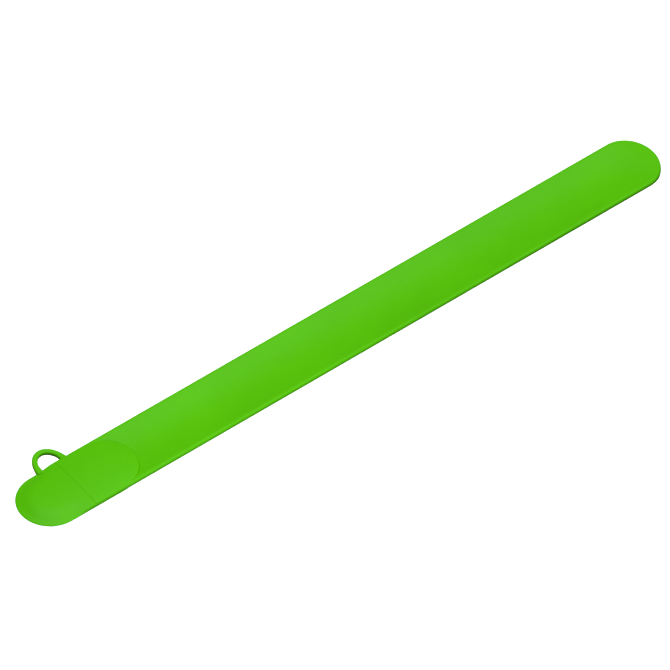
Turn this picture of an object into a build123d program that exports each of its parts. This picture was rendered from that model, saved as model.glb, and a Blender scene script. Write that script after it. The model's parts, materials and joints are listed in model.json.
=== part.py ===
"""A silicone slap band with a flash drive in its end pod, all lengths in millimetres.

The band lies straight along +X. The pod is at its -X end, its cap points along -X, the loop is on the +Y
side and the hollow face of the band is up. The origin is the middle of the flat under the pod's fixed half.
"""

import os
from math import sqrt

from build123d import *

# Overall sizes of the band.
TOTAL_LENGTH = 235.0
WIDTH = 21.0
RIM_STRIP = 1.2  # flat strip along each edge of the hollow face
TROUGH_DEPTH = 1.5
WALL = 2.0  # silicone, spring and silicone together, in the middle of the band
EDGE_WALL = 1.6  # height of the band's sides
EDGE_RADIUS = 0.4
TIP_ROUND = 9.25  # length of the rounded tip

# The band bends at evenly spaced lines, one between each two segments.
SEGMENTS = 16
LAST_SHARE = 0.75  # of an even stretch, the straight part of the last one
TIP_SHARE = 0.5  # of the rounded tip, added to the last stretch
ROOT_LENGTH = 7.5  # band that is fixed to the pod, past its round end
PRESS_GAP = 0.03  # a piece moulded or pressed into silicone has this much room

# Spring steel strip inside the band.
SPRING_THICKNESS = 0.2
SPRING_WIDTH = 13.6
SPRING_INSET = 7.0  # end of the spring to the tip

# Pod.
POD_BODY_LENGTH = 20.9  # fixed half, from the seam to the end of its round
CAP_NOSE = 7.05  # silicone in front of the cap's pocket
POD_CROWN = 0.7  # how far the middle of the pod stands above the rims
CROWN_HALFWAY = 0.75  # of the crown's height, half-way from the pod's edge to its middle
POD_EDGE = 0.8
POD_FLOOR = 1.6  # silicone under the pocket for the electronics
POD_ROOF = 0.8  # silicone over that pocket, up to the rims
FOOT_INSET = 0.2  # line where the sloping side would reach the ground, in from the plug's side
FOOT_ROUND = 2.2  # between the sloping side and the flat under the pod
CHEEK_DROP = 1.4  # from the rims down to the top of the sloping side

# Plug, as a standard plug of this family.
PLUG_WIDTH = 12.0
PLUG_THICKNESS = 4.5
PLUG_REACH = 12.0  # bare plug in front of the pod's fixed half
PLUG_ROOT = 6.0  # plug held inside the fixed half
SHEET = 0.3  # steel of the plug's shell
PLUG_CORNER = 0.6
CAP_CLEARANCE = 0.1  # round the plug
CAP_END_CLEARANCE = 0.25
WINDOW = 2.2  # square windows in the shell
WINDOW_SPACING = 6.0
WINDOW_SETBACK = 5.5  # from the plug's front
TONGUE_THICKNESS = 1.8
CONTACT_SETBACK = 1.2  # from the plug's front
TONGUE_SETBACK = 0.4
TONGUE_BLOCK = 3.0  # length of the thick back of the tongue
CONTACT_THICKNESS = 0.2
CONTACT_PLACES = (-3.5, -1.0, 1.0, 3.5)
CONTACT_WIDTH = 1.0

# Electronics behind the plug, in a pocket whose lower part is narrower than its upper.
POCKET_MARGIN = 0.25  # pocket over and under the plug
NARROW_MARGIN = 0.3  # lower part of the pocket, past the plug on each side
LEDGE_STEP = 1.1  # upper part of the pocket, past the lower on each side
BOARD_MARGIN = 0.4  # upper part of the pocket, past the board on each side
POCKET_SETBACK = 10.5  # axis of the pocket's round end, back from the end of the pod's round
BOARD_THICKNESS = 0.8
TRAY_WALL = 0.6
BOARD_LEDGE = 1.0  # how far the upper tray reaches over the board's edge
TAIL_LENGTH = 1.5  # contact on the board
MEMORY_SIZE = (6.5, 8.0, 1.0)
CONTROLLER_SIZE = (4.6, 5.0, 0.8)
EDGE_ROW_GAP = 1.0  # memory chip to the row beside it
CHIP_SETBACK = 5.22  # middle of the chips from the board's straight end
CRYSTAL_SIZE = (2.6, 1.2, 0.7)
CAPACITOR_SIZE = (1.0, 0.5, 0.5)
CAPACITOR_PITCH = 1.6
CAPACITOR_COUNT = 3

# Loop that ties the cap to the fixed half.
LOOP_SPAN = 10.8
LOOP_REACH = 6.75
LOOP_WIDTH = 1.8
LOOP_THICKNESS = 1.6
LOOP_SHIFT = 0.85  # centre of the loop, from the seam towards the cap
LOOP_TOP_DROP = 0.3  # below the rims
LOOP_EDGE = 0.5

# Sizes and places that follow from the sizes above.
cavity_height = PLUG_THICKNESS + 2 * POCKET_MARGIN
cavity_narrow = PLUG_WIDTH + 2 * NARROW_MARGIN
cavity_wide = cavity_narrow + 2 * LEDGE_STEP
board_width = cavity_wide - 2 * BOARD_MARGIN
plug_z = POD_FLOOR + cavity_height / 2
rim_top = POD_FLOOR + cavity_height + POD_ROOF
cheek_z = rim_top - CHEEK_DROP
foot_y = PLUG_WIDTH / 2 - FOOT_INSET
half_width = WIDTH / 2
cap_length = PLUG_REACH + CAP_END_CLEARANCE + CAP_NOSE
seam_x = -POD_BODY_LENGTH / 2
pod_end_x = POD_BODY_LENGTH / 2
cap_end_x = seam_x - cap_length
tip_x = cap_end_x + TOTAL_LENGTH
cap_round_x = cap_end_x + half_width
pod_round_x = pod_end_x - half_width
pocket_round_x = pod_end_x - POCKET_SETBACK
first_bend_x = pod_end_x + ROOT_LENGTH
last_length = LAST_SHARE * (tip_x - first_bend_x) / SEGMENTS + TIP_SHARE * TIP_ROUND
pitch = (tip_x - first_bend_x - last_length) / (SEGMENTS - 1)
bends = [first_bend_x + i * pitch for i in range(SEGMENTS)]

# The band's section. The spring follows the hollow, about the same centre above it.
half_trough = half_width - RIM_STRIP
trough_radius = (half_trough**2 + TROUGH_DEPTH**2) / (2 * TROUGH_DEPTH)
middle_radius = trough_radius + WALL / 2
centre_z = rim_top - TROUGH_DEPTH + trough_radius
under_z = rim_top - TROUGH_DEPTH - WALL
side_z = rim_top - EDGE_WALL

# Heights inside the pod.
plug_low_z = plug_z - PLUG_THICKNESS / 2
plug_front_x = seam_x - PLUG_REACH
plug_back_x = seam_x + PLUG_ROOT
cavity_low_z = plug_z - cavity_height / 2
cavity_top_z = plug_z + cavity_height / 2
tongue_low_z = plug_low_z + SHEET + PRESS_GAP
tongue_top_z = tongue_low_z + TONGUE_THICKNESS
board_low_z = tongue_top_z - BOARD_THICKNESS

os.makedirs("parts", exist_ok=True)


def height_on(radius, y):
    """Height of one side of the spring's section, at y to the side of its middle."""
    return centre_z - sqrt(radius**2 - y**2)


def full_section(x):
    """The band's section before it is hollowed: level top, upright sides and curved underside."""
    with BuildSketch(Plane.YZ.offset(x)) as section:
        with BuildLine():
            Line((half_width, side_z), (half_width, rim_top))
            Line((half_width, rim_top), (-half_width, rim_top))
            Line((-half_width, rim_top), (-half_width, side_z))
            ThreePointArc((-half_width, side_z), (0, under_z), (half_width, side_z))
        make_face()
        fillet(section.vertices(), EDGE_RADIUS)
    return section.sketch


def hollow_section(x):
    """The hollow's section: the curved trough between the two flat rims, up to their level."""
    with BuildSketch(Plane.YZ.offset(x)) as section:
        with BuildLine():
            ThreePointArc((half_trough, rim_top), (0, rim_top - TROUGH_DEPTH), (-half_trough, rim_top))
            Line((-half_trough, rim_top), (half_trough, rim_top))
        make_face()
    return section.sketch


def curved_strip(x, width, thickness):
    """A thin strip's section that follows the middle of the band's wall."""
    inner = middle_radius - thickness / 2
    outer = middle_radius + thickness / 2
    side = width / 2
    with BuildSketch(Plane.YZ.offset(x)) as section:
        with BuildLine():
            ThreePointArc((-side, height_on(inner, side)), (0, centre_z - inner), (side, height_on(inner, side)))
            Line((side, height_on(inner, side)), (side, height_on(outer, side)))
            ThreePointArc((side, height_on(outer, side)), (0, centre_z - outer), (-side, height_on(outer, side)))
            Line((-side, height_on(outer, side)), (-side, height_on(inner, side)))
        make_face()
    return section.sketch


def pocket_strip(x):
    """The spring's pocket: its section with a little room all round."""
    return curved_strip(x, SPRING_WIDTH + 2 * PRESS_GAP, SPRING_THICKNESS + 2 * PRESS_GAP)


def pod_section(x, whole=True):
    """The pod's section at x, or its +Y half: foot, sloping side, round edge and low crown."""
    edge_y = half_width - POD_EDGE
    edge_z = rim_top - POD_EDGE
    diagonal = POD_EDGE * sqrt(0.5)
    crown_half_z = rim_top + POD_CROWN * CROWN_HALFWAY
    with BuildSketch(Plane.YZ.offset(x)) as section:
        with BuildLine():
            Line((0, 0), (foot_y, 0))
            Line((foot_y, 0), (half_width, cheek_z))
            Line((half_width, cheek_z), (half_width, edge_z))
            ThreePointArc((half_width, edge_z), (edge_y + diagonal, edge_z + diagonal), (edge_y, rim_top))
            ThreePointArc((edge_y, rim_top), (edge_y / 2, crown_half_z), (0, rim_top + POD_CROWN))
            Line((0, rim_top + POD_CROWN), (0, 0))
        make_face()
        fillet(section.vertices().sort_by_distance((foot_y, 0))[0], FOOT_ROUND)
        if whole:
            mirror(about=Plane.YZ)
    return section.sketch


def round_end_axis(x, upward):
    """The upright axis that a round end of the pod turns about."""
    return Axis((x, 0, 0), (0, 0, 1 if upward else -1))


def pocket_outline(width, from_x, to_centre_x, height):
    """A pocket's plan: straight from from_x, with a half-round end about to_centre_x."""
    with BuildSketch(Plane.XY.offset(height)) as outline:
        length = to_centre_x - from_x
        with Locations((from_x + length / 2, 0)):
            Rectangle(length, width)
        with Locations((to_centre_x, 0)):
            Circle(width / 2)
        with Locations((from_x - width / 2, 0)):
            Rectangle(width, width, mode=Mode.SUBTRACT)
    return outline.sketch


def end_outline(from_x, end_round, half):
    """The tip's plan: straight from from_x, with a half-elliptical end."""
    length = tip_x - TIP_ROUND - from_x
    with BuildSketch(Plane.XY) as outline:
        with Locations((from_x + length / 2, 0)):
            Rectangle(length, 2 * WIDTH)
        with Locations((tip_x - TIP_ROUND, 0)):
            Ellipse(end_round, half)
    return outline.sketch


def band_stretch(from_x, length):
    """A hollowed stretch of silicone sleeve, before its pocket is cut."""
    extrude(full_section(from_x), amount=length, dir=(1, 0, 0))
    extrude(hollow_section(from_x), amount=length, dir=(1, 0, 0), mode=Mode.SUBTRACT)


# Fixed half of the pod, moulded in one with the first stretch of the band.
with BuildPart() as pod_body:
    band_stretch(pod_round_x, first_bend_x - pod_round_x)
    extrude(pod_section(seam_x), amount=pod_round_x - seam_x, dir=(1, 0, 0))
    revolve(pod_section(pod_round_x, whole=False), axis=round_end_axis(pod_round_x, False), revolution_arc=180)
    extrude(
        pocket_outline(cavity_narrow, seam_x, pocket_round_x, cavity_low_z),
        amount=cavity_height / 2,
        mode=Mode.SUBTRACT,
    )
    extrude(
        pocket_outline(cavity_wide, seam_x, pocket_round_x, board_low_z),
        amount=cavity_top_z - board_low_z,
        mode=Mode.SUBTRACT,
    )
    extrude(
        pocket_strip(first_bend_x),
        amount=ROOT_LENGTH / 2 + PRESS_GAP,
        dir=(-1, 0, 0),
        mode=Mode.SUBTRACT,
    )
pod_body.part.label = "pod_body"
export_step(pod_body.part, "parts/pod_body.step")

# Cap over the plug, with a pocket that fits it.
with BuildPart() as cap:
    extrude(pod_section(seam_x), amount=seam_x - cap_round_x, dir=(-1, 0, 0))
    revolve(pod_section(cap_round_x, whole=False), axis=round_end_axis(cap_round_x, True), revolution_arc=180)
    with BuildSketch(Plane.YZ.offset(seam_x)):
        with Locations((0, plug_z)):
            RectangleRounded(
                PLUG_WIDTH + 2 * CAP_CLEARANCE,
                PLUG_THICKNESS + 2 * CAP_CLEARANCE,
                PLUG_CORNER,
            )
    extrude(amount=-(PLUG_REACH + CAP_END_CLEARANCE), mode=Mode.SUBTRACT)
cap.part.label = "cap"
export_step(cap.part, "parts/cap.step")

# Loop on the side, with one foot on the cap and the other on the fixed half.
with BuildPart() as tether_loop:
    with BuildSketch(Plane.XY.offset(rim_top - LOOP_TOP_DROP)):
        with Locations((seam_x - LOOP_SHIFT, half_width - POD_EDGE)):
            Ellipse(LOOP_SPAN / 2, LOOP_REACH + POD_EDGE)
            Ellipse(
                LOOP_SPAN / 2 - LOOP_WIDTH,
                LOOP_REACH + POD_EDGE - LOOP_WIDTH,
                mode=Mode.SUBTRACT,
            )
        with Locations((seam_x, 0)):
            Rectangle(2 * LOOP_SPAN, 2 * (half_width - POD_EDGE), mode=Mode.SUBTRACT)
    extrude(amount=-LOOP_THICKNESS)
    ring_edges = tether_loop.edges().filter_by(Plane.XY).filter_by(GeomType.ELLIPSE)
    fillet(ring_edges, LOOP_EDGE)
    add(cap.part, mode=Mode.SUBTRACT)
    add(pod_body.part, mode=Mode.SUBTRACT)
tether_loop.part.label = "tether_loop"
export_step(tether_loop.part, "parts/tether_loop.step")

# Shell of the plug: a folded steel tube, open in front, with two windows in its top and its bottom.
with BuildPart() as plug_shell:
    with BuildSketch(Plane.YZ.offset(plug_front_x)):
        with Locations((0, plug_z)):
            RectangleRounded(PLUG_WIDTH, PLUG_THICKNESS, PLUG_CORNER)
            RectangleRounded(
                PLUG_WIDTH - 2 * SHEET,
                PLUG_THICKNESS - 2 * SHEET,
                PLUG_CORNER - SHEET,
                mode=Mode.SUBTRACT,
            )
    extrude(amount=PLUG_REACH + PLUG_ROOT)
    with BuildSketch(Plane.XY):
        with Locations((plug_front_x + WINDOW_SETBACK, 0)):
            with GridLocations(1, WINDOW_SPACING, 1, 2):
                Rectangle(WINDOW, WINDOW)
    extrude(amount=rim_top, mode=Mode.SUBTRACT)
plug_shell.part.label = "plug_shell"
export_step(plug_shell.part, "parts/plug_shell.step")

# Plastic tongue low in the shell, with a block at the back that fills the tube.
tongue_width = PLUG_WIDTH - 2 * SHEET - 2 * PRESS_GAP
block_height = PLUG_THICKNESS - 2 * SHEET - 2 * PRESS_GAP
tongue_front_x = plug_front_x + TONGUE_SETBACK
tongue_block_x = plug_back_x - TONGUE_BLOCK
contact_front_x = plug_front_x + CONTACT_SETBACK
contact_length = plug_back_x + TAIL_LENGTH - contact_front_x
with BuildPart() as plug_tongue:
    with BuildSketch(Plane.XY.offset(tongue_low_z)):
        with Locations(((tongue_front_x + plug_back_x) / 2, 0)):
            Rectangle(plug_back_x - tongue_front_x, tongue_width - 2 * PLUG_CORNER)
    extrude(amount=TONGUE_THICKNESS)
    with BuildSketch(Plane.YZ.offset(tongue_block_x)):
        with Locations((0, plug_z)):
            RectangleRounded(tongue_width, block_height, PLUG_CORNER - SHEET)
    extrude(amount=TONGUE_BLOCK)
    with BuildSketch(Plane.YZ.offset(tongue_block_x)):
        with Locations(*((y, tongue_top_z + CONTACT_THICKNESS / 2) for y in CONTACT_PLACES)):
            Rectangle(CONTACT_WIDTH, CONTACT_THICKNESS)
    extrude(amount=TONGUE_BLOCK, mode=Mode.SUBTRACT)
plug_tongue.part.label = "plug_tongue"
export_step(plug_tongue.part, "parts/plug_tongue.step")

# Four contacts, flat strips along the tongue whose tails lie on the board.
for number, y in enumerate(CONTACT_PLACES, start=1):
    with BuildPart() as contact:
        with BuildSketch(Plane.XY.offset(tongue_top_z)):
            with Locations((contact_front_x + contact_length / 2, y)):
                Rectangle(contact_length, CONTACT_WIDTH)
        extrude(amount=CONTACT_THICKNESS)
    contact.part.label = f"contact_{number}"
    export_step(contact.part, f"parts/contact_{number}.step")

# Circuit board, with a round end that follows the pod's.
board_x = plug_back_x + PRESS_GAP
with BuildPart() as circuit_board:
    extrude(pocket_outline(board_width, board_x, pocket_round_x, board_low_z), amount=BOARD_THICKNESS)
circuit_board.part.label = "circuit_board"
export_step(circuit_board.part, "parts/circuit_board.step")


def chip(name, size, places, face_z, side):
    """Rectangular pieces of one size on a face of the board, side 1 above it and -1 under it."""
    with BuildPart() as piece:
        with BuildSketch(Plane.XY.offset(face_z)):
            with Locations(*places):
                Rectangle(size[0], size[1])
        extrude(amount=side * size[2])
    piece.part.label = name
    export_step(piece.part, f"parts/{name}.step")


# Pieces on the board.
chips_x = board_x + CHIP_SETBACK
edge_row_y = MEMORY_SIZE[1] / 2 + EDGE_ROW_GAP
capacitor_places = [
    (chips_x + (i - CAPACITOR_COUNT / 2) * CAPACITOR_PITCH, -edge_row_y) for i in range(CAPACITOR_COUNT)
]
chip("memory_chip", MEMORY_SIZE, [(chips_x, 0)], tongue_top_z, 1)
chip("controller_chip", CONTROLLER_SIZE, [(chips_x, 0)], board_low_z, -1)
chip("crystal", CRYSTAL_SIZE, [(chips_x - CRYSTAL_SIZE[0] / 2, edge_row_y)], tongue_top_z, 1)
chip("capacitors", CAPACITOR_SIZE, capacitor_places, tongue_top_z, 1)

# Lower tray under the board, a shallow dish.
with BuildPart() as tray_lower:
    narrow = cavity_narrow - 2 * PRESS_GAP
    extrude(
        pocket_outline(narrow, board_x, pocket_round_x, cavity_low_z + PRESS_GAP),
        amount=board_low_z - cavity_low_z - PRESS_GAP,
    )
    extrude(
        pocket_outline(narrow - 2 * TRAY_WALL, board_x, pocket_round_x, cavity_low_z + TRAY_WALL),
        amount=BOARD_THICKNESS + TRAY_WALL,
        mode=Mode.SUBTRACT,
    )
tray_lower.part.label = "tray_lower"
export_step(tray_lower.part, "parts/tray_lower.step")

# Upper tray over the board, with a ledge that holds the board's edge down.
with BuildPart() as tray_upper:
    extrude(
        pocket_outline(cavity_wide - 2 * PRESS_GAP, board_x, pocket_round_x, board_low_z + PRESS_GAP),
        amount=cavity_top_z - board_low_z - 2 * PRESS_GAP,
    )
    extrude(
        pocket_outline(board_width + 2 * PRESS_GAP, board_x, pocket_round_x, board_low_z),
        amount=BOARD_THICKNESS,
        mode=Mode.SUBTRACT,
    )
    extrude(
        pocket_outline(board_width - 2 * BOARD_LEDGE, board_x, pocket_round_x, tongue_top_z),
        amount=cavity_top_z - TRAY_WALL - tongue_top_z,
        mode=Mode.SUBTRACT,
    )
tray_upper.part.label = "tray_upper"
export_step(tray_upper.part, "parts/tray_upper.step")

# End of the spring that is held in the fixed half.
with BuildPart() as spring_root:
    extrude(
        curved_strip(first_bend_x, SPRING_WIDTH, SPRING_THICKNESS),
        amount=ROOT_LENGTH / 2,
        dir=(-1, 0, 0),
    )
spring_root.part.label = "spring_root"
export_step(spring_root.part, "parts/spring_root.step")

# Sleeve and spring, one stretch of each between two bend lines.
for number, x in enumerate(bends[:-1], start=1):
    with BuildPart() as sleeve:
        band_stretch(x, pitch)
        extrude(pocket_strip(x), amount=pitch, dir=(1, 0, 0), mode=Mode.SUBTRACT)
    sleeve.part.label = f"sleeve_{number:02d}"
    export_step(sleeve.part, f"parts/sleeve_{number:02d}.step")
    with BuildPart() as spring:
        extrude(curved_strip(x, SPRING_WIDTH, SPRING_THICKNESS), amount=pitch, dir=(1, 0, 0))
    spring.part.label = f"spring_{number:02d}"
    export_step(spring.part, f"parts/spring_{number:02d}.step")


# Last stretch, whose rim goes round the tip: the hollow ends in a half ellipse.
spring_length = last_length - SPRING_INSET
with BuildPart() as tip_hollow:
    extrude(hollow_section(bends[-1]), amount=last_length, dir=(1, 0, 0))
    extrude(
        end_outline(bends[-1], TIP_ROUND - RIM_STRIP, half_trough),
        amount=rim_top,
        mode=Mode.INTERSECT,
    )
with BuildPart() as last_sleeve:
    extrude(full_section(bends[-1]), amount=last_length, dir=(1, 0, 0))
    extrude(end_outline(bends[-1], TIP_ROUND, half_width), amount=rim_top, mode=Mode.INTERSECT)
    add(tip_hollow.part, mode=Mode.SUBTRACT)
    extrude(pocket_strip(bends[-1]), amount=spring_length + PRESS_GAP, dir=(1, 0, 0), mode=Mode.SUBTRACT)
last_sleeve.part.label = f"sleeve_{SEGMENTS:02d}"
export_step(last_sleeve.part, f"parts/sleeve_{SEGMENTS:02d}.step")

# End of the spring in the last stretch.
with BuildPart() as last_spring:
    extrude(curved_strip(bends[-1], SPRING_WIDTH, SPRING_THICKNESS), amount=spring_length, dir=(1, 0, 0))
last_spring.part.label = f"spring_{SEGMENTS:02d}"
export_step(last_spring.part, f"parts/spring_{SEGMENTS:02d}.step")
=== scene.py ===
"""Looks of a silicone slap band with a capped plug in its end pod.

The CAD frame gives every size and place. This script adds the moulded silicone as smooth pieces,
dresses the plug and what is inside the pod, and sets the light, the floor and the
camera.
"""

from __future__ import annotations

import json
import logging
import math
from collections.abc import Iterable
from dataclasses import dataclass
from enum import Enum

import bmesh
import bpy
from mathutils import Matrix, Quaternion, Vector

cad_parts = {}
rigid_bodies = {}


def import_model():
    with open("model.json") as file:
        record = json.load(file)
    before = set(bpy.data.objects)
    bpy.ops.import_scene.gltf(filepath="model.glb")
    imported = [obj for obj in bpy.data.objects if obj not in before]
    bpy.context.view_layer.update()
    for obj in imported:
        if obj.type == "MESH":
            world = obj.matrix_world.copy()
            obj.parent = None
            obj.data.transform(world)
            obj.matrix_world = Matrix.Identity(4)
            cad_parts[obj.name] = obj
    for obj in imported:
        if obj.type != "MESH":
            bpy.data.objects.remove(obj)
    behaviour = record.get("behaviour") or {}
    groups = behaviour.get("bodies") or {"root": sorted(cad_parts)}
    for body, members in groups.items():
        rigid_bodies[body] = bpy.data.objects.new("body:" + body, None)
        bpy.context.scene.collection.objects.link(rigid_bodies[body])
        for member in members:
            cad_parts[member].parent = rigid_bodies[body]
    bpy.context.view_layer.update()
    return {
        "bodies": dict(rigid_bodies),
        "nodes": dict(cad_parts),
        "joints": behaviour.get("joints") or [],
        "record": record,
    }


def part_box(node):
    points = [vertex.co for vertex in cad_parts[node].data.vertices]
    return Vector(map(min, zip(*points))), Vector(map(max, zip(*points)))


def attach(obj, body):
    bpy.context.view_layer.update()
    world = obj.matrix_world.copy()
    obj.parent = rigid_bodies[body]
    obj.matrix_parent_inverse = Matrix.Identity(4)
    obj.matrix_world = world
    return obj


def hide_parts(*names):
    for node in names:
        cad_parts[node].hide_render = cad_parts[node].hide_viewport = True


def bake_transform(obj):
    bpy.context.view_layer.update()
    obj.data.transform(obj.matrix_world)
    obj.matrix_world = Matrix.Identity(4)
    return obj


MM = 0.001  # metres
TINY = 1e-7  # metres, the distance below which two places are the same
SRGB_KNEE, SRGB_SLOPE, SRGB_OFFSET, SRGB_POWER = 0.04045, 12.92, 0.055, 2.4
NOISE_LOW, NOISE_HIGH = 0.3, 0.7  # nearly all of a noise texture lies between these
MIX_SHARE, MIX_FIRST, MIX_SECOND, MIX_COLOUR = 0, 6, 7, 2  # a Mix node's sockets for colours
log = logging.getLogger("slap_band")


def linear(colour: str) -> tuple[float, float, float, float]:
    """Turns an sRGB hex colour into linear light.

    Args:
        colour: Six hex digits after a hash.

    Returns:
        Linear red, green and blue, and an alpha of 1.
    """
    parts = [int(colour[i : i + 2], 16) / 255 for i in (1, 3, 5)]
    red, green, blue = (
        part / SRGB_SLOPE
        if part <= SRGB_KNEE
        else ((part + SRGB_OFFSET) / (1 + SRGB_OFFSET)) ** SRGB_POWER
        for part in parts
    )
    return red, green, blue, 1.0


def ease(value: float, low: float, high: float) -> float:
    """Goes smoothly from 0 at low to 1 at high.

    Args:
        value: Place on the way.
        low: Where the way starts.
        high: Where it ends.

    Returns:
        A share from 0 to 1.
    """
    share = min(1.0, max(0.0, (value - low) / (high - low)))
    return share * share * (3 - 2 * share)


# ---------------------------------------------------------------- the CAD frame


@dataclass(frozen=True)
class Places:
    """Places and sizes read from the CAD frame, in metres."""

    seam_x: float
    cap_end_x: float
    tip_x: float
    half_width: float
    crown_z: float
    rim_z: float
    under_z: float
    plug_low: Vector
    plug_high: Vector
    tray_low: Vector
    tray_high: Vector
    loop_low: Vector
    loop_high: Vector
    bends: tuple[float, ...]
    bodies: tuple[str, ...]

    @classmethod
    def read(cls, frame: dict) -> Places:
        """Reads the places from the loaded frame.


        Returns:
            The places that the pieces are built on.
        """
        hinges = [joint for joint in frame["joints"] if joint["type"] == "hinge"]
        cap_low, cap_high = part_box("cap")
        sleeve_low, sleeve_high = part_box("sleeve_01")
        _, tip_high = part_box(f"sleeve_{len(hinges):02d}")
        plug_low, plug_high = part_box("plug_shell")
        tray_low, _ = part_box("tray_lower")
        _, tray_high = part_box("tray_upper")
        loop_low, loop_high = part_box("tether_loop")
        starts = [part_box(f"sleeve_{number:02d}")[0].x for number in range(1, len(hinges) + 1)]
        return cls(
            seam_x=cap_high.x,
            cap_end_x=cap_low.x,
            tip_x=tip_high.x,
            half_width=sleeve_high.y,
            crown_z=cap_high.z,
            rim_z=sleeve_high.z,
            under_z=sleeve_low.z,
            plug_low=plug_low,
            plug_high=plug_high,
            tray_low=tray_low,
            tray_high=tray_high,
            loop_low=loop_low,
            loop_high=loop_high,
            bends=tuple(starts),
            bodies=("pod", *(joint["child"] for joint in hinges)),
        )

    @property
    def pitch(self) -> float:
        """Length of one stretch of the band."""
        return self.bends[1] - self.bends[0]

    @property
    def pod_round_x(self) -> float:
        """Axis of the round end of the pod's fixed half."""
        return -self.seam_x - self.half_width

    @property
    def cap_round_x(self) -> float:
        """Axis of the cap's round nose."""
        return self.cap_end_x + self.half_width


# ---------------------------------------------------------------- mesh helpers


def picked(items: Iterable, kind: type) -> list:
    """The items of one kind, such as the edges among what an operator made."""
    return [item for item in items if isinstance(item, kind)]


class OutlinePen:
    """Draws an outline in an upright plane across the band, one operator call for each stretch."""

    def __init__(self, mesh: bmesh.types.BMesh, x: float, y: float, z: float) -> None:
        """Starts the outline.

        Args:
            mesh: The mesh that the outline is drawn in.
            x: Place of the plane.
            y: Start of the outline, to the side.
            z: Start of the outline, upwards.
        """
        self.mesh = mesh
        self.x = x
        self.before = set(mesh.edges)
        self.first = mesh.verts.new((x, y, z))
        self.tip = self.first

    def line(self, y: float, z: float) -> None:
        """Draws straight on to a point."""
        made = bmesh.ops.extrude_vert_indiv(self.mesh, verts=[self.tip])
        self.tip = made["verts"][0]
        self.tip.co = (self.x, y, z)

    def arc(self, centre: tuple[float, float], turn: float, steps: int) -> None:
        """Turns on about a centre.

        Args:
            centre: The arc's centre as (y, z).
            turn: Angle about +X by the right-hand rule, in radians.
            steps: Edges in the arc.
        """
        made = bmesh.ops.spin(
            self.mesh,
            geom=[self.tip],
            cent=(self.x, *centre),
            axis=(1, 0, 0),
            dvec=(0, 0, 0),
            angle=turn,
            steps=steps,
            use_duplicate=False,
        )
        self.tip = made["geom_last"][0]

    def drawn(self) -> list[bmesh.types.BMEdge]:
        """The outline's edges."""
        return [edge for edge in self.mesh.edges if edge not in self.before]


def steps_to(start: float, end: float, longest: float) -> list[float]:
    """Evenly spaced places after start, up to end.

    Args:
        start: Where the last ring is.
        end: Where the run ends.
        longest: Longest step allowed.

    Returns:
        The places, the last of which is end.
    """
    count = max(1, math.ceil(abs(end - start) / longest - TINY))
    return [start + (end - start) * (i + 1) / count for i in range(count)]


def run_edges(mesh: bmesh.types.BMesh, edges: list, stations: Iterable[float]) -> list:
    """Extrudes an outline along X, through each station.

    Args:
        mesh: The mesh.
        edges: The outline's edges.
        stations: Places of the new rings.

    Returns:
        The last ring's edges.
    """
    for station in stations:
        made = bmesh.ops.extrude_edge_only(mesh, edges=edges)["geom"]
        ring = picked(made, bmesh.types.BMVert)
        edges = [edge for edge in picked(made, bmesh.types.BMEdge) if set(ring).issuperset(edge.verts)]
        bmesh.ops.translate(mesh, verts=ring, vec=(station - ring[0].co.x, 0, 0))
    return edges


def run_faces(mesh: bmesh.types.BMesh, faces: list, stations: Iterable[float]) -> None:
    """Extrudes a flat row of faces along X, through each station.

    Args:
        mesh: The mesh.
        faces: The faces.
        stations: Places of the new rings.
    """
    for station in stations:
        edges = list({edge for face in faces for edge in face.edges})
        made = bmesh.ops.extrude_face_region(mesh, geom=[*faces, *edges])["geom"]
        faces = picked(made, bmesh.types.BMFace)
        ring = picked(made, bmesh.types.BMVert)
        bmesh.ops.translate(mesh, verts=ring, vec=(station - ring[0].co.x, 0, 0))


def size_ring(edges: list, middle_z: float, scale_y: float, scale_z: float) -> None:
    """Scales a ring in its own plane, about a point in the band's middle plane.

    Args:
        edges: The ring's edges.
        middle_z: Height of the point that stays.
        scale_y: Factor to the side.
        scale_z: Factor upwards.
    """
    for vert in {vert for edge in edges for vert in edge.verts}:
        vert.co.y *= scale_y
        vert.co.z = middle_z + (vert.co.z - middle_z) * scale_z


def turn_end(
    mesh: bmesh.types.BMesh, items: list, centre_x: float, turn: float, steps: int
) -> None:
    """Spins an outline or a row of faces about an upright axis.

    Args:
        mesh: The mesh.
        items: What is spun.
        centre_x: Place of the axis.
        turn: Angle about +Z, in radians.
        steps: Rings in the turn.
    """
    bmesh.ops.spin(
        mesh,
        geom=items,
        cent=(centre_x, 0, 0),
        axis=(0, 0, 1),
        dvec=(0, 0, 0),
        angle=turn,
        steps=steps,
        use_duplicate=False,
    )
    bmesh.ops.remove_doubles(mesh, verts=mesh.verts, dist=TINY)
    bmesh.ops.dissolve_degenerate(mesh, edges=mesh.edges, dist=TINY)


def mirror_sides(mesh: bmesh.types.BMesh) -> None:
    """Mirrors the +Y half of a piece and joins the two halves."""
    geometry = [*mesh.verts, *mesh.edges, *mesh.faces]
    bmesh.ops.mirror(mesh, geom=geometry, matrix=Matrix.Identity(4), merge_dist=TINY, axis="Y")
    bmesh.ops.remove_doubles(mesh, verts=mesh.verts, dist=TINY)


def open_edges(mesh: bmesh.types.BMesh, x: float) -> list:
    """The edges at x that have one face only."""
    return [
        edge
        for edge in mesh.edges
        if edge.is_boundary and all(abs(vert.co.x - x) < TINY for vert in edge.verts)
    ]


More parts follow.
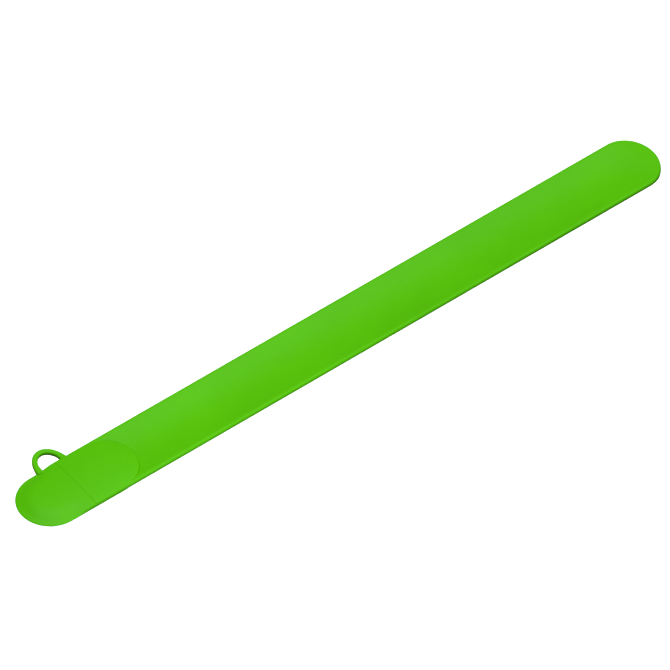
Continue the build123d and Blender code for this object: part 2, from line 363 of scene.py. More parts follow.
def soften(
    mesh: bmesh.types.BMesh, turns: tuple[float, float], size: float, segments: int
) -> None:
    """Bevels the edges that run along a piece and turn by an angle between two limits.

    Args:
        mesh: The mesh.
        turns: Smallest and largest turn, in degrees.
        size: Bevel on each side of the edge.
        segments: Steps across the bevel.
    """
    low, high = turns
    bmesh.ops.recalc_face_normals(mesh, faces=mesh.faces)
    chosen = [
        edge
        for edge in mesh.edges
        if len(edge.link_faces) == 2
        and abs(edge.verts[0].co.x - edge.verts[1].co.x) > TINY
        and low < math.degrees(edge.calc_face_angle()) < high
    ]
    bmesh.ops.bevel(
        mesh,
        geom=chosen,
        offset=size,
        offset_type="OFFSET",
        segments=segments,
        profile=0.5,
        affect="EDGES",
        clamp_overlap=True,
        material=-1,
    )


def finished(mesh: bmesh.types.BMesh, name: str, crease: float = 35.0) -> bpy.types.Object:
    """Turns a finished mesh into an object at the origin.

    Args:
        mesh: The mesh, in the row frame. It is freed.
        name: The piece's name.
        crease: Edges that turn by more than this many degrees stay sharp.

    Returns:
        The object, smooth shaded.
    """
    bmesh.ops.recalc_face_normals(mesh, faces=mesh.faces)
    data = bpy.data.meshes.new(name)
    mesh.to_mesh(data)
    mesh.free()
    data.shade_smooth()
    data.set_sharp_from_angle(angle=math.radians(crease))
    piece = bpy.data.objects.new(name, data)
    bpy.context.scene.collection.objects.link(piece)
    return piece


# ---------------------------------------------------------------- finishes


def add_node(
    tree: bpy.types.NodeTree,
    kind: str,
    links: dict | None = None,
    values: dict | None = None,
    **settings: object,
) -> bpy.types.Node:
    """Adds a node to a material.

    Args:
        tree: The material's node tree.
        kind: The node's type.
        links: Input name or number to the output socket that feeds it.
        values: Input name or number to its value.
        settings: Properties of the node.

    Returns:
        The new node.
    """
    node = tree.nodes.new(kind)
    for key, value in settings.items():
        setattr(node, key, value)
    for key, value in (values or {}).items():
        node.inputs[key].default_value = value
    for key, socket in (links or {}).items():
        tree.links.new(socket, node.inputs[key])
    return node


class Grain(Enum):
    """How far a surface's grain is drawn out along X, Y and Z by the way it was made."""

    EVEN = (1.0, 1.0, 1.0)
    ROLLED = (0.08, 1.0, 1.0)
    WOVEN = (1.0, 1.0, 0.2)


@dataclass(frozen=True)
class Finish:
    """A material: what it is made of and what its surface shows.

    Attributes:
        slot: The record's material slot.
        maker_name: What the real material is and how its surface was made.
        light: Lighter colour of the drift, sRGB hex.
        dark: Darker colour of the drift, sRGB hex.
        drift_mm: Size of the drift of colour.
        smoothest: Lowest roughness.
        roughest: Highest roughness.
        grain_mm: Size of the grain.
        relief_mm: Depth of the grain.
        grain: Which way the grain runs.
        metallic: 1 for a metal.
        ior: Index of refraction. A metal keeps the default.
        specular: Specular level, 0.5 for a plain dielectric.
    """

    slot: str
    maker_name: str
    light: str
    dark: str
    drift_mm: float
    smoothest: float
    roughest: float
    grain_mm: float
    relief_mm: float
    grain: Grain = Grain.EVEN
    metallic: float = 0.0
    ior: float = 1.5
    specular: float = 0.5

    def material(self) -> bpy.types.Material:
        """Builds the finish, with patterns laid on Object coordinates in metres.

        Returns:
            The material.
        """
        material = bpy.data.materials.new(self.maker_name)
        material.use_nodes = True
        tree = material.node_tree
        shader = tree.nodes["Principled BSDF"]
        shader.inputs["Metallic"].default_value = self.metallic
        if not self.metallic:
            shader.inputs["IOR"].default_value = self.ior
            shader.inputs["Specular IOR Level"].default_value = self.specular
        place = add_node(tree, "ShaderNodeTexCoord").outputs["Object"]
        laid = add_node(
            tree, "ShaderNodeMapping", {"Vector": place}, {"Scale": self.grain.value}
        ).outputs[0]

        drift = add_node(
            tree,
            "ShaderNodeTexNoise",
            {"Vector": laid},
            {"Scale": 1 / (self.drift_mm * MM), "Detail": 3.0, "Roughness": 0.55},
        )
        spread = add_node(
            tree,
            "ShaderNodeMapRange",
            {"Value": drift.outputs[0]},
            {"From Min": NOISE_LOW, "From Max": NOISE_HIGH},
        )
        colour = add_node(
            tree,
            "ShaderNodeMix",
            {MIX_SHARE: spread.outputs[0]},
            {MIX_FIRST: linear(self.dark), MIX_SECOND: linear(self.light)},
            data_type="RGBA",
        )
        tree.links.new(colour.outputs[MIX_COLOUR], shader.inputs["Base Color"])

        fine = add_node(
            tree,
            "ShaderNodeTexNoise",
            {"Vector": laid},
            {"Scale": 1 / (self.grain_mm * MM), "Detail": 2.0, "Roughness": 0.6},
        )
        rough = add_node(
            tree,
            "ShaderNodeMapRange",
            {"Value": fine.outputs[0]},
            {
                "From Min": NOISE_LOW,
                "From Max": NOISE_HIGH,
                "To Min": self.smoothest,
                "To Max": self.roughest,
            },
        )
        tree.links.new(rough.outputs[0], shader.inputs["Roughness"])
        bump = add_node(
            tree,
            "ShaderNodeBump",
            {"Height": fine.outputs[0]},
            {"Strength": 1.0, "Distance": self.relief_mm * MM},
        )
        tree.links.new(bump.outputs[0], shader.inputs["Normal"])
        return material


# Silicone rubber from a spark-eroded mould: a soft, even, matte surface that only just gleams.
SILICONE = Finish(
    slot="silicone",
    maker_name="silicone_rubber_matte_moulded",
    light="#459c03",
    dark="#429703",
    drift_mm=22.0,
    smoothest=0.36,
    roughest=0.44,
    grain_mm=0.45,
    relief_mm=0.006,
    ior=1.41,
    specular=0.06,
)
# Cold rolled spring steel: grey, with fine lines along the strip.
SPRING_STEEL = Finish(
    slot="spring_steel",
    maker_name="spring_steel_cold_rolled",
    light="#b4b6ba",
    dark="#9a9da3",
    drift_mm=6.0,
    smoothest=0.22,
    roughest=0.34,
    grain_mm=0.12,
    relief_mm=0.002,
    grain=Grain.ROLLED,
    metallic=1.0,
)
# Nickel plated steel, drawn from sheet: bright, with a faint draw along the plug.
PLATED_STEEL = Finish(
    slot="plated_steel",
    maker_name="nickel_plated_steel",
    light="#d6d4cf",
    dark="#c3c2bf",
    drift_mm=5.0,
    smoothest=0.16,
    roughest=0.26,
    grain_mm=0.15,
    relief_mm=0.0015,
    grain=Grain.ROLLED,
    metallic=1.0,
)
# Glass-filled nylon, moulded white: slightly cloudy and dull.
TONGUE_NYLON = Finish(
    slot="tongue_plastic",
    maker_name="nylon_glass_filled_white",
    light="#e9e8e2",
    dark="#dedcd4",
    drift_mm=4.0,
    smoothest=0.42,
    roughest=0.55,
    grain_mm=0.2,
    relief_mm=0.004,
    ior=1.53,
)
# Hard gold flash on a stamped contact: warm and bright.
GOLD_FLASH = Finish(
    slot="gold_contact",
    maker_name="gold_flash_on_phosphor_bronze",
    light="#e8be62",
    dark="#d8a94c",
    drift_mm=2.0,
    smoothest=0.18,
    roughest=0.28,
    grain_mm=0.1,
    relief_mm=0.001,
    grain=Grain.ROLLED,
    metallic=1.0,
)
# Green solder mask over woven glass and epoxy: glossy, with the weave just showing.
SOLDER_MASK = Finish(
    slot="board",
    maker_name="green_solder_mask_on_glass_epoxy",
    light="#1c6b3a",
    dark="#11502a",
    drift_mm=1.2,
    smoothest=0.25,
    roughest=0.36,
    grain_mm=0.4,
    relief_mm=0.006,
    grain=Grain.WOVEN,
    ior=1.55,
)
# Black moulded epoxy: dull, with a fine spark-eroded grain.
CHIP_EPOXY = Finish(
    slot="chip_resin",
    maker_name="black_moulded_epoxy",
    light="#26272a",
    dark="#1b1c1e",
    drift_mm=1.5,
    smoothest=0.5,
    roughest=0.65,
    grain_mm=0.08,
    relief_mm=0.004,
    ior=1.55,
)
# Fired ceramic body: tan and slightly rough.
CERAMIC = Finish(
    slot="ceramic",
    maker_name="fired_ceramic_tan",
    light="#a58763",
    dark="#8f7350",
    drift_mm=0.6,
    smoothest=0.4,
    roughest=0.55,
    grain_mm=0.08,
    relief_mm=0.003,
    ior=1.6,
)
# Black ABS tray: satin from a polished mould.
TRAY_ABS = Finish(
    slot="tray_plastic",
    maker_name="black_abs_satin",
    light="#2c2c2f",
    dark="#222225",
    drift_mm=5.0,
    smoothest=0.34,
    roughest=0.46,
    grain_mm=0.25,
    relief_mm=0.004,
    ior=1.54,
)
# Uncoated white paper: flat and even, with no gleam.
STUDIO_PAPER = Finish(
    slot="paper",
    maker_name="studio_paper_white",
    light="#fbfbfa",
    dark="#f7f7f6",
    drift_mm=60.0,
    smoothest=0.9,
    roughest=0.95,
    grain_mm=1.0,
    relief_mm=0.0,
    specular=0.0,
)


class Wardrobe:
    """Makes each finish once and dresses pieces in it."""

    def __init__(self) -> None:
        """Starts with no finish made."""
        self.made: dict[str, bpy.types.Material] = {}

    def dress(self, piece: bpy.types.Object, finish: Finish) -> None:
        """Puts a finish on a piece.

        Args:
            piece: A new piece or a CAD node.
            finish: The finish.
        """
        material = self.made.get(finish.slot) or finish.material()
        self.made[finish.slot] = material
        if not piece.material_slots:
            piece.data.materials.append(material)
        for place in piece.material_slots:
            place.material = material


# ---------------------------------------------------------------- the band


@dataclass(frozen=True)
class Band:
    """The silicone sleeve of the band, in stretches that each span one bend line of the spring."""

    places: Places
    wardrobe: Wardrobe
    rim_strip: float = 1.2 * MM  # flat strip along each side of the hollow face
    hollow_depth: float = 1.5 * MM
    under_rise: float = 1.9 * MM  # from the middle of the underside up to its edges
    edge_round: float = 0.7 * MM
    edge_turns: tuple[float, float] = (45, 135)  # degrees, at the edges that get edge_round
    edge_steps: int = 4
    crease_round: float = 0.45 * MM  # between rim and hollow
    crease_turns: tuple[float, float] = (10, 30)
    crease_steps: int = 2
    tip_round: float = 9.25 * MM
    hollow_fade: float = 16.0 * MM  # over this length before the tip the hollow comes up level
    under_fade: float = 6.8 * MM  # the same for the underside, past the end of the spring
    root_wall: float = 1.0 * MM  # how deep the root stands in the pod's wall
    ring_step: float = 0.6 * MM
    bend_share: float = 0.5  # of the pitch, the reach of a bend on each side of its line
    hollow_steps: int = 28
    tip_steps: int = 40

    @property
    def half_hollow(self) -> float:
        """Half of the hollow's width."""
        return self.places.half_width - self.rim_strip

    @property
    def hollow_radius(self) -> float:
        """Radius of the hollow across the band."""
        return (self.half_hollow**2 + self.hollow_depth**2) / (2 * self.hollow_depth)

    @property
    def centre_z(self) -> float:
        """Height of the centre of the hollow's arc."""
        return self.places.rim_z - self.hollow_depth + self.hollow_radius

    def underside(self, y: float) -> float:
        """Height of the underside at y to the side."""
        radius = (self.places.half_width**2 + self.under_rise**2) / (2 * self.under_rise)
        return self.places.under_z + radius - math.sqrt(radius**2 - y**2)

    def section(self, mesh: bmesh.types.BMesh, x: float, whole: bool = True) -> list:
        """Draws the band's section as a row of faces from the hollow face down to the underside.

        Args:
            mesh: The mesh.
            x: Place of the section.
            whole: Both sides, or the +Y side only.

        Returns:
            The faces.
        """
        half_turn = math.asin(self.half_hollow / self.hollow_radius)
        if whole:
            pen = OutlinePen(mesh, x, -self.places.half_width, self.places.rim_z)
            pen.line(-self.half_hollow, self.places.rim_z)
            pen.arc((0, self.centre_z), 2 * half_turn, self.hollow_steps)
        else:
            pen = OutlinePen(mesh, x, 0, self.places.rim_z - self.hollow_depth)
            pen.arc((0, self.centre_z), half_turn, self.hollow_steps // 2)
        pen.line(self.places.half_width, self.places.rim_z)
        made = bmesh.ops.extrude_edge_only(mesh, edges=pen.drawn())["geom"]
        for vert in picked(made, bmesh.types.BMVert):
            vert.co.z = self.underside(vert.co.y)
        return picked(made, bmesh.types.BMFace)

    def rounded(self, mesh: bmesh.types.BMesh) -> None:
        """Rounds the crease between rim and hollow, then the band's outer edges."""
        soften(mesh, self.crease_turns, self.crease_round, self.crease_steps)
        soften(mesh, self.edge_turns, self.edge_round, self.edge_steps)

    def dressed(self, mesh: bmesh.types.BMesh, name: str) -> bpy.types.Object:
        """Finishes a stretch and dresses it in silicone."""
        piece = finished(mesh, name)
        self.wardrobe.dress(piece, SILICONE)
        return piece

    def build_root(self) -> bpy.types.Object:
        """Builds the fixed stretch, whose inner end follows the pod's round end inside its wall.

        Returns:
            The piece, which rides on the pod.
        """
        start = self.places.pod_round_x
        end = self.places.bends[0] - self.places.pitch / 2
        mesh = bmesh.new()
        run_faces(mesh, self.section(mesh, start), steps_to(start, end, 2 * self.ring_step))
        self.rounded(mesh)
        reach = self.places.half_width - self.root_wall
        for vert in mesh.verts:
            shift = math.sqrt(max(0.0, reach**2 - vert.co.y**2))
            vert.co.x += shift * (end - vert.co.x) / (end - start)
        piece = self.dressed(mesh, "band_root")
        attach(piece, "pod")
        return piece

    def build_stretch(self, number: int) -> bpy.types.Object:
        """Builds a stretch from the middle of one link of the spring to the middle of the next.

        Args:
            number: Counts from 1 at the pod.

        Returns:
            The piece.
        """
        bend = self.places.bends[number - 1]
        start, end = bend - self.places.pitch / 2, bend + self.places.pitch / 2
        mesh = bmesh.new()
        run_faces(mesh, self.section(mesh, start), steps_to(start, end, self.ring_step))
        self.rounded(mesh)
        return self.bent(self.dressed(mesh, f"band_skin_{number:02d}"), number)

    def build_tip(self) -> bpy.types.Object:
        """Builds the last stretch, whose rim goes round the tip and whose hollow comes up level.

        Returns:
            The piece.
        """
        number = len(self.places.bends)
        start = self.places.bends[-1] - self.places.pitch / 2
        axis = self.places.tip_x - self.tip_round
        mesh = bmesh.new()
        half = self.section(mesh, axis, whole=False)
        turn_end(mesh, [*mesh.verts, *mesh.edges, *half], axis, -math.pi, self.tip_steps)
        joint = [face for face in mesh.faces if all(abs(v.co.x - axis) < TINY for v in face.verts)]
        run_faces(mesh, joint, steps_to(axis, start, self.ring_step))
        self.rounded(mesh)
        self.shape_tip(mesh, axis)
        return self.bent(self.dressed(mesh, f"band_skin_{number:02d}"), number)

    def shape_tip(self, mesh: bmesh.types.BMesh, axis: float) -> None:
        """Brings the hollow and the underside up level towards the tip and shortens the round.

        Args:
            mesh: The stretch, with a round end that was spun.
            axis: Where the round begins.
        """
        rim_z = self.places.rim_z
        side_z = self.underside(self.places.half_width)
        for vert in mesh.verts:
            beyond = max(0.0, vert.co.x - axis)
            reach = math.hypot(beyond, vert.co.y)
            x = axis + beyond * self.tip_round / self.places.half_width if beyond else vert.co.x
            top = ease(x, self.places.tip_x - self.hollow_fade, self.places.tip_x - self.rim_strip)
            under = ease(x, self.places.tip_x - self.under_fade, self.places.tip_x)
            hollow_z = self.centre_z - math.sqrt(self.hollow_radius**2 - reach**2)
            if vert.co.z < (hollow_z + self.underside(reach)) / 2:
                low_z = self.underside(vert.co.y)
                vert.co.z += low_z + (side_z - low_z) * under - self.underside(reach)
            elif reach < self.places.half_width - self.edge_round:
                vert.co.z += (rim_z - vert.co.z) * top
            vert.co.x = x

    def bent(self, piece: bpy.types.Object, number: int) -> bpy.types.Object:
        """Puts a stretch in place of its CAD node, which it hides, and bakes its place into its mesh.

        Args:
            piece: The stretch.
            number: Counts from 1 at the pod.

        Returns:
            The same piece.
        """
        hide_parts(f"sleeve_{number:02d}")
        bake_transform(piece)
        return piece

    def build(self) -> list[bpy.types.Object]:
        """Builds every piece of the sleeve."""
        middle = [self.build_stretch(number) for number in range(1, len(self.places.bends))]
        return [self.build_root(), *middle, self.build_tip()]


# ---------------------------------------------------------------- the pod


@dataclass(frozen=True)
class PodShape:
    """The pod's form, shared by its two halves: flat foot, sloping sides, round end and low crown."""

    places: Places
    foot_half: float = 5.8 * MM  # where the line of the sloping side would reach the ground
    foot_shares: tuple[float, ...] = (0.35, 0.7, 1.0)  # of the flat foot, where its points lie
    foot_round: float = 2.2 * MM
    foot_steps: int = 8
    cheek_z: float = 6.0 * MM  # top of the sloping side
    cheek_round: float = 0.6 * MM
    cheek_steps: int = 4
    edge_round: float = 0.7 * MM
    edge_steps: int = 8
    crown_steps: int = 14
    seam_round: float = 0.07 * MM
    seam_shares: tuple[float, ...] = (1.0, 0.6, 0.25, 0.0)  # of seam_round, where its rings lie
    plug_corner: float = 0.6 * MM
    plug_corner_steps: int = 4
    ring_step: float = 0.6 * MM
    end_steps: int = 24

    def half_outline(self, mesh: bmesh.types.BMesh, x: float) -> None:
        """Draws the +Y half of the section, from the middle of the foot to the top of the crown.

        Args:
            mesh: The mesh.
            x: Place of the section.
        """
        side, edge = self.places.half_width, self.edge_round
        slope = math.atan2(self.cheek_z, side - self.foot_half)
        foot_y = self.foot_half - self.foot_round * math.tan(slope / 2)
        cheek_y = side - self.cheek_round
        cheek_z = self.cheek_z + self.cheek_round * math.tan((math.pi / 2 - slope) / 2)
        inner = side - edge
        rise = self.places.crown_z - self.places.rim_z + edge
        crown = (inner**2 + rise**2 - edge**2) / (2 * (rise - edge))
        crown_turn = math.asin(inner / (crown - edge))
        pen = OutlinePen(mesh, x, 0, 0)
        for share in self.foot_shares:
            pen.line(foot_y * share, 0)
        pen.arc((foot_y, self.foot_round), slope, self.foot_steps)
        pen.line(
            cheek_y + self.cheek_round * math.sin(slope), cheek_z - self.cheek_round * math.cos(slope)
        )
        pen.arc((cheek_y, cheek_z), math.pi / 2 - slope, self.cheek_steps)
        pen.line(side, self.places.rim_z - edge)
        pen.arc((inner, self.places.rim_z - edge), math.pi / 2 - crown_turn, self.edge_steps)
        pen.arc((0, self.places.crown_z - crown), crown_turn, self.crown_steps)

    def half_shell(self, mesh: bmesh.types.BMesh, axis: float) -> None:
        """Builds the +Y half of the outside, from the seam to the round end.

        Args:
            mesh: An empty mesh.
            axis: Place of the round end's axis. The round end is on the side away from the seam.
        """
        seam = self.places.seam_x
        away = math.copysign(1, axis - seam)
        self.half_outline(mesh, axis)
        turn_end(mesh, [*mesh.verts, *mesh.edges], axis, -away * math.pi / 2, self.end_steps)
        lips = [seam + away * self.seam_round * share for share in self.seam_shares]
        stations = [*steps_to(axis, lips[0], self.ring_step), *lips[1:]]
        run_edges(mesh, open_edges(mesh, axis), stations)
        middle_z = self.places.rim_z / 2
        for vert in mesh.verts:
            into = max(0.0, self.seam_round - abs(vert.co.x - seam))
            depth = self.seam_round - math.sqrt(self.seam_round**2 - into**2)
            vert.co.y *= 1 - depth / self.places.half_width
            vert.co.z = middle_z + (vert.co.z - middle_z) * (1 - depth / middle_z)

    def half_slot(self, mesh: bmesh.types.BMesh, room: float, to_x: float) -> list:
        """Builds the +Y half of a slot for the plug, from the seam inwards.

        Args:
            mesh: The mesh.
            room: Gap round the plug.
            to_x: Where the slot ends.

        Returns:
            The edges at the slot's inner end.
        """
        low, high = self.places.plug_low, self.places.plug_high
        corner, side = self.plug_corner, high.y + room
        pen = OutlinePen(mesh, self.places.seam_x, 0, low.z - room)
        pen.line(side - corner, low.z - room)
        pen.arc((side - corner, low.z - room + corner), math.pi / 2, self.plug_corner_steps)
        pen.line(side, high.z + room - corner)
        pen.arc((side - corner, high.z + room - corner), math.pi / 2, self.plug_corner_steps)
        pen.line(0, high.z + room)
        return run_edges(mesh, pen.drawn(), steps_to(self.places.seam_x, to_x, 2 * self.ring_step))

    def close_seam(self, mesh: bmesh.types.BMesh) -> None:
        """Mirrors the half and closes the face at the seam round the slot."""
        mirror_sides(mesh)
        bmesh.ops.triangle_fill(mesh, edges=open_edges(mesh, self.places.seam_x), use_beauty=True)


@dataclass(frozen=True)
class FixedHalf:
    """The half of the pod that is moulded on the band, hollow for the plug's root and the board."""

    shape: PodShape
    wardrobe: Wardrobe
    slot_room: float = 0.12 * MM
    tray_room: float = 0.03 * MM

    def build(self) -> bpy.types.Object:
        """Builds the fixed half.

        Returns:
            The piece, which rides on the pod.
        """
        places = self.shape.places
        mesh = bmesh.new()
        self.shape.half_shell(mesh, places.pod_round_x)
        ring = self.shape.half_slot(mesh, self.slot_room, places.plug_high.x)
        middle_z = (places.plug_low.z + places.plug_high.z) / 2
        half_plug = (places.plug_high.z - places.plug_low.z) / 2
        half_tray = (places.tray_high.z - places.tray_low.z) / 2
        scale_y = (places.tray_high.y + self.tray_room) / (places.plug_high.y + self.slot_room)
        scale_z = (half_tray + self.tray_room) / (half_plug + self.slot_room)
        ring = run_edges(mesh, ring, [places.plug_high.x])
        size_ring(ring, middle_z, scale_y, scale_z)
        stations = steps_to(places.plug_high.x, places.pod_round_x, self.shape.ring_step)
        ring = run_edges(mesh, ring, stations)
        corners = list({vert for edge in ring for vert in edge.verts})
        turn_end(mesh, [*corners, *ring], places.pod_round_x, -math.pi / 2, self.shape.end_steps)
        self.shape.close_seam(mesh)
        piece = finished(mesh, "pod_shell")
        self.wardrobe.dress(piece, SILICONE)
        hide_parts("pod_body")
        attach(piece, "pod")
        return piece


@dataclass(frozen=True)
class Cap:
    """The pull-off cap: a round nose with a soft upper edge and a slot that fits the plug."""

    shape: PodShape
    wardrobe: Wardrobe
    slot_room: float = 0.1 * MM
    end_room: float = 0.1 * MM
    nose_slope: float = 1.1 * MM  # how far the nose's upper edge leans in
    foot_slope: float = 1.5 * MM  # how far its lowest edge leans in
    roll_width: float = 5.0 * MM  # strip inside the nose's edge that rolls down
    roll_drop: float = 0.9 * MM
    widest_z: float = 6.0 * MM  # height where the nose reaches out furthest

    def soften_nose(self, mesh: bmesh.types.BMesh) -> None:
        """Leans the nose's edges in and rolls its top down, less and less towards the seam.

        Args:
            mesh: The +Y half of the cap's outside.
        """
        places = self.shape.places
        for vert in mesh.verts:
            up = max(0.0, vert.co.z - self.widest_z) / (places.rim_z - self.widest_z)
            seam_edge = places.seam_x - self.shape.edge_round
            near_nose = 1 - ease(vert.co.x, places.cap_round_x, seam_edge)
            reach = math.hypot(min(0.0, vert.co.x - places.cap_round_x), vert.co.y)
            roll = max(0.0, 1 - (places.half_width - reach) / self.roll_width)
            down = max(0.0, 1 - vert.co.z / self.widest_z)
            vert.co.z -= min(1.0, up) * roll**2 * near_nose * self.roll_drop
            lean = min(1.0, up * up) * self.nose_slope + down**4 * self.foot_slope
            keep = 1 - near_nose * lean / places.half_width
            vert.co.y *= keep
            if vert.co.x < places.cap_round_x:
                vert.co.x = places.cap_round_x + (vert.co.x - places.cap_round_x) * keep

    def build(self) -> bpy.types.Object:
        """Builds the cap.

        Returns:
            The piece, which rides on the cap's body.
        """
        places = self.shape.places
        mesh = bmesh.new()
        self.shape.half_shell(mesh, places.cap_round_x)
        self.soften_nose(mesh)
        slot_end = places.plug_low.x - self.end_room
        self.shape.half_slot(mesh, self.slot_room, slot_end)
        self.shape.close_seam(mesh)
        bmesh.ops.holes_fill(mesh, edges=open_edges(mesh, slot_end), sides=0)
        piece = finished(mesh, "cap_shell")
        self.wardrobe.dress(piece, SILICONE)
        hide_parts("cap")
        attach(piece, "cap")
        return piece


@dataclass(frozen=True)
class Tether:
    """The small loop over the seam, one leg on the cap and the other on the fixed half."""

    places: Places
    wardrobe: Wardrobe
    width: float = 1.8 * MM
    corner: float = 0.6 * MM
    corner_steps: int = 5
    root_depth: float = 1.1 * MM  # how deep the legs stand in the pod
    pod_edge: float = 0.8 * MM  # the loop's centre lies this far in from the pod's side
    flare: float = 0.2  # share by which the legs widen at their roots
    flare_length: float = 2.2 * MM
    turn_steps: int = 72
    crease: float = 50.0  # degrees, the turn from which an edge stays sharp
    blend_share: float = 2 / 3  # of the half span, where the stretch begins and ends

    def build(self) -> bpy.types.Object:
        """Builds the loop as a ring, stretched to its reach and cut at its roots.

        Returns:
            The piece, which spans the seam from the pod to the cap.
        """
        low, high = self.places.loop_low, self.places.loop_high
        centre = Vector(((low.x + high.x) / 2, self.places.half_width - self.pod_edge, 0))
        half_span = (high.x - low.x) / 2
        stretch = high.y - centre.y - half_span
        corner = self.corner
        inner_y, outer_y = centre.y + half_span - self.width, centre.y + half_span
        mesh = bmesh.new()
        pen = OutlinePen(mesh, centre.x, inner_y + corner, low.z)
        pen.line(outer_y - corner, low.z)
        pen.arc((outer_y - corner, low.z + corner), math.pi / 2, self.corner_steps)
        pen.line(outer_y, high.z - corner)
        pen.arc((outer_y - corner, high.z - corner), math.pi / 2, self.corner_steps)
        pen.line(inner_y + corner, high.z)
        pen.arc((inner_y + corner, high.z - corner), math.pi / 2, self.corner_steps)
        pen.line(inner_y, low.z + corner)
        pen.arc((inner_y + corner, low.z + corner), math.pi / 2, self.corner_steps)
        bmesh.ops.remove_doubles(mesh, verts=mesh.verts, dist=TINY)
        bmesh.ops.spin(
            mesh,
            geom=[*mesh.verts, *mesh.edges],
            cent=centre,
            axis=(0, 0, 1),
            dvec=(0, 0, 0),
            angle=math.tau,
            steps=self.turn_steps,
            use_merge=True,
            use_duplicate=False,
        )
        self.shape_ring(mesh, centre, half_span - self.width / 2, stretch)
        cut_y = self.places.half_width - self.root_depth
        cut = bmesh.ops.bisect_plane(
            mesh,
            geom=[*mesh.verts, *mesh.edges, *mesh.faces],
            plane_co=(0, cut_y, 0),
            plane_no=(0, 1, 0),
            clear_inner=True,
        )["geom_cut"]
        bmesh.ops.holes_fill(mesh, edges=picked(cut, bmesh.types.BMEdge), sides=0)
        piece = finished(mesh, "tether", self.crease)
        self.wardrobe.dress(piece, SILICONE)
        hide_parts("tether_loop")
        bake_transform(piece)
        return piece

    def shape_ring(
        self, mesh: bmesh.types.BMesh, centre: Vector, leg: float, stretch: float
    ) -> None:
        """Draws the ring out to an ellipse and widens its legs at their roots.

        Args:
            mesh: The round ring.
            centre: The ring's centre.
            leg: Radius of the middle of the ring.
            stretch: How much further the ring reaches out than to its ends.
        """
        for vert in mesh.verts:
            offset = vert.co - centre
            reach = math.hypot(offset.x, offset.y)
            vert.co.y += stretch * offset.y / reach
            beyond = vert.co.y - self.places.half_width
            root = 1 - ease(beyond, 0, self.flare_length)
            middle_x = centre.x + math.copysign(leg, offset.x)
            vert.co.x += (vert.co.x - middle_x) * self.flare * root


# ---------------------------------------------------------------- what the pod and the band hold


FINISHES = {
    finish.slot: finish
    for finish in (
        SILICONE,
        SPRING_STEEL,
        PLATED_STEEL,
        TONGUE_NYLON,
        GOLD_FLASH,
        SOLDER_MASK,
        CHIP_EPOXY,
        CERAMIC,
        TRAY_ABS,
    )
}


@dataclass(frozen=True)
class Insides:
    """The plug, the electronics and the spring, whose CAD shapes stay as they are."""

    frame: dict
    wardrobe: Wardrobe

    def dress(self) -> None:
        """Gives every CAD node the finish that its slot in the record names."""
        for part in self.frame["record"]["subparts"]:
            node = self.frame["nodes"].get(part["node"])
            if node is not None:
                self.wardrobe.dress(node, FINISHES[part["material_slot"]])
                log.info("%s wears %s", part["node"], part["material_slot"])


# ---------------------------------------------------------------- studio


@dataclass(frozen=True)
class Lamp:
    """A sun with a wide, soft disk.

    Attributes:
        name: The lamp's name.
        towards: Direction from the object to the lamp.
        strength: Strength in watts for each square metre.
        width: Angle of the disk, in degrees.
    """

    name: str
    towards: tuple[float, float, float]
    strength: float
    width: float

    def build(self) -> None:
        """Adds the lamp."""
        data = bpy.data.lights.new(self.name, "SUN")
        data.energy = self.strength
        data.angle = math.radians(self.width)
        lamp = bpy.data.objects.new(self.name, data)
        lamp.rotation_euler = (-Vector(self.towards)).to_track_quat("-Z", "Y").to_euler()
        bpy.context.scene.collection.objects.link(lamp)


@dataclass(frozen=True)
class Softbox:
    """A round area lamp close to the band, whose light falls off along it.

    Attributes:
        name: The lamp's name.
        place: Where it stands.
        aim: What it points at.
        power: Power in watts.
        size: Diameter.
    """

    name: str
    place: tuple[float, float, float]
    aim: tuple[float, float, float]
    power: float
    size: float

    def build(self) -> None:
        """Adds the lamp, out of the camera's sight."""
        data = bpy.data.lights.new(self.name, "AREA")
        data.shape = "DISK"
        data.size = self.size
        data.energy = self.power
        lamp = bpy.data.objects.new(self.name, data)
        lamp.location = self.place
        way = Vector(self.aim) - Vector(self.place)
        lamp.rotation_euler = way.to_track_quat("-Z", "Y").to_euler()
        lamp.visible_camera = False
        bpy.context.scene.collection.objects.link(lamp)


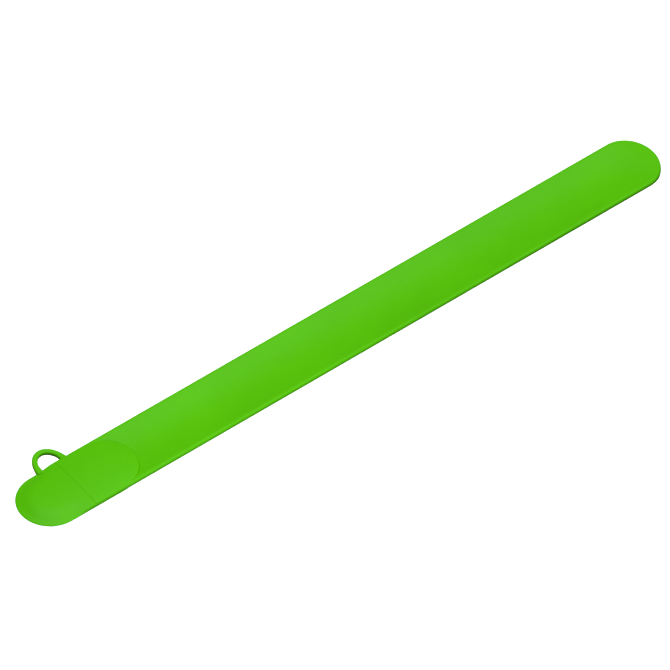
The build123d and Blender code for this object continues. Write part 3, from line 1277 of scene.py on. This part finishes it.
@dataclass(frozen=True)
class Studio:
    """A pale floor well below the band, soft light and the camera."""

    places: Places
    floor_z: float = -90 * MM  # clear of the curled band
    floor_half: float = 40.0
    floor_squares: int = 8
    fill: float = 0.19  # strength of the light from all round
    backdrop: float = 1.2  # strength of the same light where the camera sees it
    azimuth: float = -36.799
    elevation: float = 47.161
    roll: float = -1.214
    distance: float = 3.1
    lens_mm: float = 565.153
    sensor_mm: float = 36.0
    aim_x: float = 85.1 * MM
    aim_z: float = 6.4 * MM
    clip_near: float = 0.1
    clip_far: float = 100.0
    lamps: tuple[Lamp | Softbox, ...] = (
        Lamp(name="overhead_silk", towards=(0.1, -0.02, 1.0), strength=4.55, width=54),
        Softbox(
            name="near_softbox",
            place=(0.03, -0.17, 0.02),
            aim=(0.03, 0.0, 0.006),
            power=0.18,
            size=0.1,
        ),
    )

    def build_floor(self) -> None:
        """Builds the floor, a wide sheet of pale paper."""
        mesh = bmesh.new()
        squares = self.floor_squares
        bmesh.ops.create_grid(
            mesh, x_segments=squares, y_segments=squares, size=self.floor_half
        )
        bmesh.ops.translate(mesh, verts=mesh.verts, vec=(0, 0, self.floor_z))
        floor = finished(mesh, "floor")
        floor.data.materials.append(STUDIO_PAPER.material())
        floor.visible_diffuse = False
        floor.visible_glossy = False

    def build_world(self) -> None:
        """Sets a weak, even light from all round, which looks white behind the floor's edge."""
        world = bpy.data.worlds.new("studio")
        world.use_nodes = True
        tree = world.node_tree
        ground = tree.nodes["Background"]
        ground.inputs["Color"].default_value = (1, 1, 1, 1)
        seen = add_node(tree, "ShaderNodeLightPath").outputs["Is Camera Ray"]
        strength = add_node(
            tree,
            "ShaderNodeMapRange",
            {"Value": seen},
            {"To Min": self.fill, "To Max": self.backdrop},
        )
        tree.links.new(strength.outputs[0], ground.inputs["Strength"])
        bpy.context.scene.world = world

    def build_camera(self) -> None:
        """Places a long lens that looks down along the band at its middle."""
        data = bpy.data.cameras.new("camera")
        data.lens = self.lens_mm
        data.sensor_width = self.sensor_mm
        data.clip_start = self.clip_near
        data.clip_end = self.clip_far
        camera = bpy.data.objects.new("camera", data)
        turn, rise = math.radians(self.azimuth), math.radians(self.elevation)
        level_reach = math.cos(rise)
        back = Vector(
            (math.sin(turn) * level_reach, -math.cos(turn) * level_reach, math.sin(rise))
        )
        camera.location = Vector((self.aim_x, 0, self.aim_z)) + back * self.distance
        level = (-back).to_track_quat("-Z", "Y")
        camera.rotation_euler = (level @ Quaternion((0, 0, 1), math.radians(self.roll))).to_euler()
        bpy.context.scene.collection.objects.link(camera)
        bpy.context.scene.camera = camera

    def build(self) -> None:
        """Builds the floor, the light and the camera."""
        self.build_floor()
        self.build_world()
        for lamp in self.lamps:
            lamp.build()
        self.build_camera()
        bpy.context.scene.view_settings.view_transform = "Standard"
        log.info("studio set, floor at %.1f mm", self.floor_z / MM)


# ---------------------------------------------------------------- the whole


def report(piece: bpy.types.Object) -> None:
    """Logs a piece's name and size."""
    size = piece.dimensions / MM
    log.info("%s: %d faces, %.1f x %.1f x %.1f mm", piece.name, len(piece.data.polygons), *size)


def main() -> None:
    """Builds every piece round the CAD frame."""
    logging.basicConfig(level=logging.INFO, format="%(name)s: %(message)s")
    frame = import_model()
    places = Places.read(frame)
    wardrobe = Wardrobe()
    Insides(frame, wardrobe).dress()
    shape = PodShape(places)
    pieces = [
        *Band(places, wardrobe).build(),
        FixedHalf(shape, wardrobe).build(),
        Cap(shape, wardrobe).build(),
        Tether(places, wardrobe).build(),
    ]
    for piece in pieces:
        report(piece)
    Studio(places).build()


if __name__ == "__main__":
    main()
